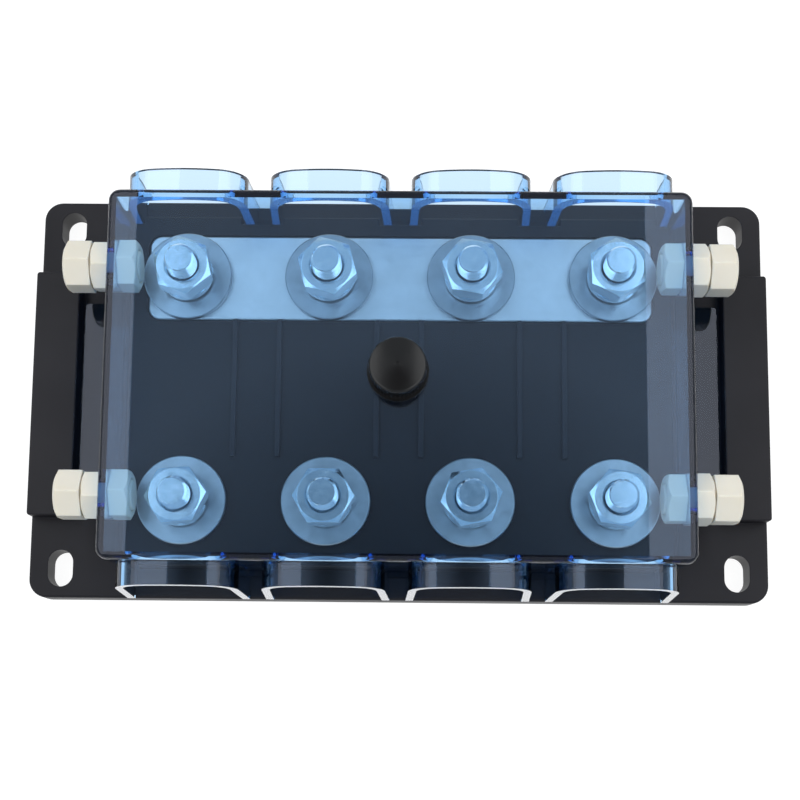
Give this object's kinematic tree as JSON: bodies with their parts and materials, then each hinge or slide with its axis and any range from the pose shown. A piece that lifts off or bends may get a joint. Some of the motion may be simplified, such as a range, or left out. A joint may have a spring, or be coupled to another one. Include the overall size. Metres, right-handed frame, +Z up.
{
  "type": "fuse box",
  "caption": "Bolt-down fuse box: black base with two rows of terminal studs, a busbar along one row and a clear blue cover held by a centre knob.",
  "frame": {"origin": "centre of the mounting face of the base", "axes": "+X along the box, +Y towards the busbar row, +Z up out of the mounting face"},
  "size_m": [0.2, 0.1112, 0.0455],
  "materials": {
    "black_moulding": "moulded, semi-matt",
    "clear_blue": "clear, polished, tinted blue",
    "plated_copper": "tin plated, satin",
    "plated_steel": "bright zinc plated",
    "natural_nylon": "natural nylon, waxy",
    "black_knob": "moulded, satin",
    "insert_brass": "turned"
  },
  "bodies": {
    "base_body": {"base": "black_moulding", "busbar": "plated_copper", "fused_1_flat_washer": "plated_steel", "fused_1_nut": "plated_steel", "fused_1_spring_washer": "plated_steel", "fused_1_stud": "plated_steel", "fused_2_flat_washer": "plated_steel", "fused_2_nut": "plated_steel", "fused_2_spring_washer": "plated_steel", "fused_2_stud": "plated_steel", "fused_3_flat_washer": "plated_steel", "fused_3_nut": "plated_steel", "fused_3_spring_washer": "plated_steel", "fused_3_stud": "plated_steel", "fused_4_flat_washer": "plated_steel", "fused_4_nut": "plated_steel", "fused_4_spring_washer": "plated_steel", "fused_4_stud": "plated_steel", "pillar_insert": "insert_brass", "supply_1_flat_washer": "plated_steel", "supply_1_nut": "plated_steel", "supply_1_spring_washer": "plated_steel", "supply_1_stud": "plated_steel", "supply_2_flat_washer": "plated_steel", "supply_2_nut": "plated_steel", "supply_2_spring_washer": "plated_steel", "supply_2_stud": "plated_steel", "supply_3_flat_washer": "plated_steel", "supply_3_nut": "plated_steel", "supply_3_spring_washer": "plated_steel", "supply_3_stud": "plated_steel", "supply_4_flat_washer": "plated_steel", "supply_4_nut": "plated_steel", "supply_4_spring_washer": "plated_steel", "supply_4_stud": "plated_steel"},
    "cover_body": {"cover": "clear_blue", "left_fused_plug_bolt": "natural_nylon", "left_fused_plug_inner_nut": "natural_nylon", "left_fused_plug_outer_nut": "natural_nylon", "left_supply_plug_bolt": "natural_nylon", "left_supply_plug_inner_nut": "natural_nylon", "left_supply_plug_outer_nut": "natural_nylon", "right_fused_plug_bolt": "natural_nylon", "right_fused_plug_inner_nut": "natural_nylon", "right_fused_plug_outer_nut": "natural_nylon", "right_supply_plug_bolt": "natural_nylon", "right_supply_plug_inner_nut": "natural_nylon", "right_supply_plug_outer_nut": "natural_nylon"},
    "knob_body": {"knob": "black_knob", "knob_screw": "plated_steel"}
  },
  "joints": [
    {"name": "cover_lift", "type": "slide", "parent": "base_body", "child": "cover_body", "axis": [0, 0, 1], "range_m": [0, 0.06]},
    {"name": "knob_turn", "type": "hinge", "parent": "cover_body", "child": "knob_body", "pos_m": [0, 0, 0.0375], "axis": [0, 0, 1], "continuous": true}
  ]
}
